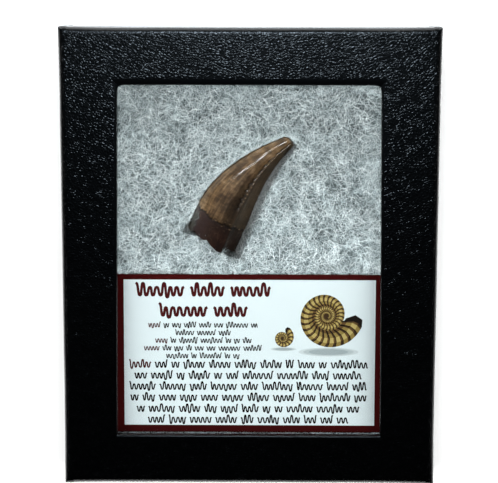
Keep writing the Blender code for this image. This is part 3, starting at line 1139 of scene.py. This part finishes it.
def layLines(lines, start, heading, turns, step):
    # from its start each line goes step by step, turned each time
    lines[:, 0, :2] = start
    for i, turn in enumerate(turns, start=1):
        heading = heading + turn
        lines[:, i, 0] = lines[:, i - 1, 0] + np.cos(heading) * step
        lines[:, i, 1] = lines[:, i - 1, 1] + np.sin(heading) * step


def strandPaths(bed, layer, random):
    # the middle lines of a layer's loose strands, lying in swirls on the bed
    count, points = wadding["strands"][layer], wadding["points"]
    (left, right), end = wadding["strandField"]
    start = random.uniform((left, cardBox[1][1] - 1.5 * mm), (right, end), size=(count, 2))
    heading = wander(start, 14 * mm, 50) * 1.3 + 0.6 + random.normal(0, 0.95, count)
    length = random.uniform(*wadding["strandLength"], size=count)
    rise = (0.05 + 0.13 * layer + random.uniform(0, 0.22, count)) * mm
    lowest = np.full(count, -1.0)
    # some more lie along the tooth, against its widest line
    rim = [v for v in toothPiece.data.vertices if abs(v.normal.z) < 0.2 and v.co.z > 8.6 * mm]
    widest = np.array([v.co[:] + v.normal[:2] for v in rim])
    cells = np.round(widest[:, :2] / wadding["huggingCell"])
    spots = np.unique(cells, axis=0, return_index=True)[1]
    chosen = widest[spots[random.integers(0, len(spots), wadding["hugging"])]]
    hugging = slice(0, len(chosen))
    start[hugging] = chosen[:, :2] + chosen[:, 3:] * random.uniform(0.02, 0.55, (len(chosen), 1)) * mm
    sideways = np.arctan2(chosen[:, 3], -chosen[:, 4]) + math.pi * random.integers(0, 2, len(chosen))
    heading[hugging] = sideways + random.normal(0, 0.3, len(chosen))
    length[hugging] *= 0.5
    lowest[hugging] = chosen[:, 2] + random.uniform(-0.5, 0.3, len(chosen)) * mm
    step = length / (points - 1)
    curl = random.normal(0, 1, count) / wadding["curl"] * step
    turns = [curl + random.normal(0, 0.16, count) for _ in range(points - 1)]
    lines = np.zeros((count, points, 3))
    layLines(lines, start, heading, turns, step)
    lines[..., :2] = np.clip(lines[..., :2], padBox[0][:2] + 1 * mm, padBox[1][:2] - 1 * mm)
    arch = np.sin(np.linspace(0, math.pi, points))[None] * random.uniform(0, 0.3, count)[:, None] * mm
    ground = heightAt(bed, lines[..., 0], lines[..., 1])
    lines[..., 2] = np.maximum(ground + rise[:, None] + arch, lowest[:, None])
    return lines


def stripPaths(bed, random):
    # the middle lines of the fluff that shows below the card
    count, points = wadding["belowCard"], wadding["points"]
    across = random.uniform(-wadding["stripHalf"], wadding["stripHalf"], count)
    start = np.column_stack([across, random.normal(wadding["stripMiddle"], 0.5 * mm, count)])
    heading = random.normal(0, 0.8, count)
    turns = random.normal(0, 0.9, (count, points))[:, 1:].T
    step = random.uniform(0.25 * mm, 0.9 * mm, count)
    lines = np.zeros((count, points, 3))
    layLines(lines, start, heading, turns, step)
    ragged = wander(lines[:, :1, 0].reshape(-1, 1), 2.2 * mm, 60)[:, None] * 0.25 * mm
    lines[..., 1] = np.maximum(lines[..., 1], wadding["stripFoot"] + ragged)
    rise = random.uniform(0.1 * mm, 0.9 * mm, (count, 1))
    lines[..., 2] = heightAt(bed, lines[..., 0], lines[..., 1]) + rise
    return lines


def makeStrands(name, lines, random, material, stout=1.0):
    # thin three-sided tubes round the middle lines, kept under the pane and, by the card, under the card
    count, points = lines.shape[:2]
    x, y, z = lines[..., 0], lines[..., 1], np.minimum(lines[..., 2], paneUnder - gap)
    overCard = (x > cardBox[0][0]) & (x < cardBox[1][0])
    overCard &= (y > cardBox[0][1] - 0.1 * mm) & (y < cardBox[1][1] + 0.1 * mm)
    lines[..., 2] = np.where(overCard, np.minimum(z, cardBox[0][2] - 0.12 * mm), z)
    half = random.uniform(*wadding["strandHalf"], size=count) * stout
    taper = np.interp(np.linspace(0, 1, points), [0, 0.15, 0.85, 1], [0.3, 1, 1, 0.3])
    tangent = np.gradient(lines, axis=1)
    tangent /= np.maximum(np.linalg.norm(tangent, axis=2, keepdims=True), 1e-12)
    sideways = np.cross(tangent, np.array([0.0, 0.0, 1.0]))
    sideways /= np.maximum(np.linalg.norm(sideways, axis=2, keepdims=True), 1e-12)
    upwards = np.cross(sideways, tangent)
    rims = []
    for k in range(3):
        turn = math.pi / 2 + 2 * math.pi * k / 3
        out = sideways * math.cos(turn) + upwards * math.sin(turn)
        rims.append(lines + out * (half[:, None] * taper[None])[..., None])
    places = np.stack(rims, axis=2).reshape(-1, 3)
    index = np.arange(count * points * 3).reshape(count, points, 3)
    faces = []
    for k in range(3):
        n = (k + 1) % 3
        quads = np.stack([index[:, :-1, k], index[:, :-1, n], index[:, 1:, n], index[:, 1:, k]], axis=-1)
        faces += quads.reshape(-1, 4).tolist()
    faces += index[:, 0, ::-1].tolist() + index[:, -1, :].tolist()
    made = pieceFrom(name, places.tolist(), faces)
    faceOutwards(made)
    dress(made, material)
    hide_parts("wadding")
    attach(made, "root")


bed = makeBed()
print("wadding bed made")
random = np.random.default_rng(wadding["seed"])
for layer, colour in enumerate(fibre["strands"]):
    lines = strandPaths(bed, layer, random)
    spun = makeStrandFibre(f"spunPolyester{layer + 1}", colour)
    makeStrands(f"looseStrands{layer + 1}", lines, random, spun)
fluff = makeStrandFibre("spunPolyesterFluff", fibre["fluff"])
makeStrands("fluffBelowCard", stripPaths(bed, random), random, fluff, stout=1.9)
print("strands made")


# the label card
card = {
    "border": 1.55,  # mm, like all of the card's drawing
    "footBorder": 2.1,
    "shownHalf": 38.4,  # the board hides the outer part of each side border
    "inks": {
        "paper": "#dfe6ea",
        "border": "#3a0000",
        "red": "#430b0c",
        "ink": "#14100f",
        "shellLight": "#b7a164",
        "shellPale": "#8c7540",
        "shellBrown": "#5f4527",
        "shellDeep": "#3a281a",
        "shellDark": "#17100c",
        "shade": "#9fa8ab",
        "shadeSoft": "#b6bec1",
        "shadeRim": "#cbd2d5",
    },
    "hands": {  # height, stroke and pitch of the scribble
        "title": (2.8, 0.78, 2.1),
        "small": (1.2, 0.3, 0.96),
        "text": (1.75, 0.42, 1.34),
    },
    "rows": [
        # how far from the top edge, left end, right end, hand, the first word's ink and the others' ink
        (5.0, -33.6, 6.3, "title", "red", "red"),
        (11.0, -26.8, -0.4, "title", "red", "red"),
        (15.1, -29.8, 2.5, "small", "red", "ink"),
        (17.4, -21.9, -5.4, "small", "ink", "ink"),
        (19.7, -27.8, 0.7, "small", "red", "ink"),
        (22.0, -31.1, 3.7, "small", "red", "ink"),
        (24.3, -24.6, -2.8, "small", "ink", "ink"),
        (26.9, -35.5, 34.9, "text", "red", "ink"),
        (30.2, -34.0, 33.1, "text", "ink", "ink"),
        (33.5, -35.5, 34.6, "text", "ink", "ink"),
        (36.8, -35.2, 34.6, "text", "ink", "ink"),
        (40.2, -33.4, 32.5, "text", "ink", "ink"),
        (43.5, -30.1, 29.3, "text", "ink", "ink"),
    ],
    "shellMiddle": (22.6, 12.2),
    "shellRadius": 10.8,
    "shellGrowth": 2.15,  # each turn of the coil is this many times as wide as the one before
    "seed": 7,
    "speck": 0.6 * mm,
    "dimmed": 0.92,
}
cardInks = list(card["inks"])


def scribble(row, random):
    # dummy writing: each word is one up-and-down pen line, which spells nothing
    fromTop, left, right, hand, firstInk, ink = row
    height, stroke, pitch = card["hands"][hand]
    words, x = [], left
    while x < right - pitch:
        width = min(random.integers(2, 8) * pitch, right - x)
        if right - x - width < 1.5 * pitch:
            width = right - x
        words.append((x, x + width))
        x += width + pitch * 0.62
    shapes = []
    for number, (start, end) in enumerate(words):
        turns = max(2, int(round((end - start) / (pitch / 2))))
        gaps = random.uniform(0.75, 1.25, turns)
        spread = np.concatenate([[0], np.cumsum(gaps) / gaps.sum()])
        knotsX = start + stroke / 2 + (end - start - stroke) * spread
        tall = random.choice([1.0, 1.0, 1.0, 1.0, 1.5], turns + 1)
        deep = random.choice([1.0] * 7 + [1.5], turns + 1)
        knotsY = np.where(np.arange(turns + 1) % 2, -0.5 * height * deep, height * (tall - 0.5)) * 0.86
        # squarish waves: the pen goes nearly straight up and down, with short bends between
        parts = np.array([0.0, 0.26, 0.42, 0.58, 0.74])
        share = np.append((np.arange(turns)[:, None] + parts).ravel(), turns)
        lower = np.minimum(share.astype(int), turns - 1)
        part = share - lower
        across = knotsX[lower] * (1 - part) + knotsX[lower + 1] * part
        blend = 0.5 * (1 - np.tanh(1.8 * np.cos(part * math.pi)) / math.tanh(1.8))
        up = knotsY[lower] * (1 - blend) + knotsY[lower + 1] * blend
        line = np.stack([across, -fromTop + up], axis=1)
        for here, there in zip(line[:-1], line[1:]):
            ahead = (there - here) / np.linalg.norm(there - here) * stroke
            aside = np.array([-ahead[1], ahead[0]]) / 2
            first, last = here - ahead * 0.22, there + ahead * 0.22
            outline = [first - aside, last - aside, last + aside, first + aside]
            shapes.append((ink if number else firstInk, np.array(outline)))
    return shapes


def spiralShell(middle, radius, turns, ribs):
    # a coiled fossil shell: every rib has a lit and a dark side, and each turn is darker towards its seams
    growth = math.log(card["shellGrowth"]) / (2 * math.pi)
    total = int(turns * ribs)
    angles = np.linspace(0, turns * 2 * math.pi, total + 1)
    bands = [(0.0, 0.2), (0.2, 0.48), (0.48, 0.78), (0.78, 1.0)]  # of each turn's breadth, from inside out
    lit = ["shellBrown", "shellPale", "shellLight", "shellPale"]
    dark = ["shellDark", "shellDeep", "shellBrown", "shellDeep"]
    seams = ["shellDark", "shellDark", "shellDeep", "shellDark"]

    def at(angle, share):
        outer = radius * math.exp(growth * (angle - angles[-1]))
        inner = radius * math.exp(growth * (angle - 2 * math.pi - angles[-1]))
        swept = angle - 0.9 + 0.12 * math.sin(share * math.pi)
        r = inner + (outer - inner) * share
        return (middle[0] + r * math.cos(swept), middle[1] + r * math.sin(swept))

    inside = np.linspace(0, 2 * math.pi, 25)[:-1]
    core = radius * math.exp(-growth * angles[-1]) * 1.05
    heart = [middle[0] + core * np.cos(inside), middle[1] + core * np.sin(inside)]
    shapes = [("shellDeep", np.stack(heart, axis=1))]
    for a, b in zip(angles[:-1], angles[1:]):
        ridgeAt, grooveAt = a + (b - a) * 0.58, a + (b - a) * 0.84
        for (near, far), *inks in zip(bands, lit, dark, seams):
            for start, end, ink in zip((a, ridgeAt, grooveAt), (ridgeAt, grooveAt, b), inks):
                outline = [at(start, near), at(start, far), at(end, far), at(end, near)]
                shapes.append((ink, np.array(outline)))
    mouth = [at(angles[-1] - 0.03, share) for share in (0.04, 0.35, 0.7, 1.0)]
    mouth += [at(angles[-1] + 0.14, 0.92), at(angles[-1] + 0.19, 0.55), at(angles[-1] + 0.12, 0.1)]
    shapes.append(("shellDark", np.array(mouth)))
    return shapes


def cardShapes(halfX, tall):
    # the card's drawing as (ink, outline) areas in mm from the middle of its top edge, each over those before
    random = np.random.default_rng(card["seed"])
    edge, foot = card["border"], card["footBorder"]
    side = edge - card["shownHalf"]
    shapes = [
        ("border", np.array([(-halfX, 0), (halfX, 0), (halfX, -tall), (-halfX, -tall)])),
        ("paper", np.array([(side, -edge), (-side, -edge), (-side, -tall + foot), (side, -tall + foot)])),
    ]
    x, y = card["shellMiddle"]
    around = np.linspace(0, 2 * math.pi, 33)[:-1]
    for acrossBy, downBy, wide in ((0.6, 10.7, 8.8), (-12.6, 9.9, 3.8)):
        for ink, share in (("shadeRim", 1.0), ("shadeSoft", 0.84), ("shade", 0.66)):
            ringX = x + acrossBy + wide * share * np.cos(around)
            ringY = -y - downBy + wide * share * 0.15 * np.sin(around)
            shapes.append((ink, np.stack([ringX, ringY], axis=1)))
    shapes += spiralShell((x, -y), card["shellRadius"], 3.1, 25)
    shapes += spiralShell((x - 12.9, -y - 6.6), card["shellRadius"] * 0.34, 2.3, 15)
    for row in card["rows"]:
        shapes += scribble(row, random)
    return shapes


def makeCard():
    low, high = cardBox
    shapes = cardShapes((high[0] - low[0]) / 2 / mm, (high[1] - low[1]) / mm)
    points, outlines = [], []
    for _, outline in shapes:
        turned = np.roll(outline, -1, axis=0)
        if (outline[:, 0] * turned[:, 1] - outline[:, 1] * turned[:, 0]).sum() < 0:
            outline = outline[::-1]  # the filling needs every outline anticlockwise
        first = len(points)
        points += [Vector((float(px), float(py))) for px, py in outline]
        outlines.append(list(range(first, first + len(outline))))
    flatPoints, _, faces, _, _, origins = delaunay_2d_cdt(points, [], outlines, 1, 1e-5)
    places = [(p.x * mm, p.y * mm + high[1], high[2]) for p in flatPoints]
    made = pieceFrom("labelCard", places, [list(face) for face in faces])
    dress(made, *makeCardInks())
    for face, sources in zip(made.data.polygons, origins):
        face.material_index = cardInks.index(shapes[max(sources)][0])
    faceOutwards(made)
    if made.data.polygons[0].normal.z < 0:
        editMode(True)
        bpy.ops.mesh.flip_normals()
        editMode(False)
    print("card faces", len(faces))
    applyModifier(made, "SOLIDIFY", thickness=high[2] - low[2], offset=-1.0)
    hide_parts("label_card")
    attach(made, "root")


def makeCardInks():
    # matt laser-printed card: the ink has no thickness, only colour, a little uneven
    made = []
    for name, colour in card["inks"].items():
        material, tree, shader = newMaterial(
            "printed" + name[0].upper() + name[1:], {"Roughness": 0.85, "Specular IOR Level": 0.12}
        )
        cloudedColour(tree, shader, colour, card["dimmed"], card["speck"])
        made.append(material)
    return made


makeCard()
print("label card made")
makeLights()
print("lights made")
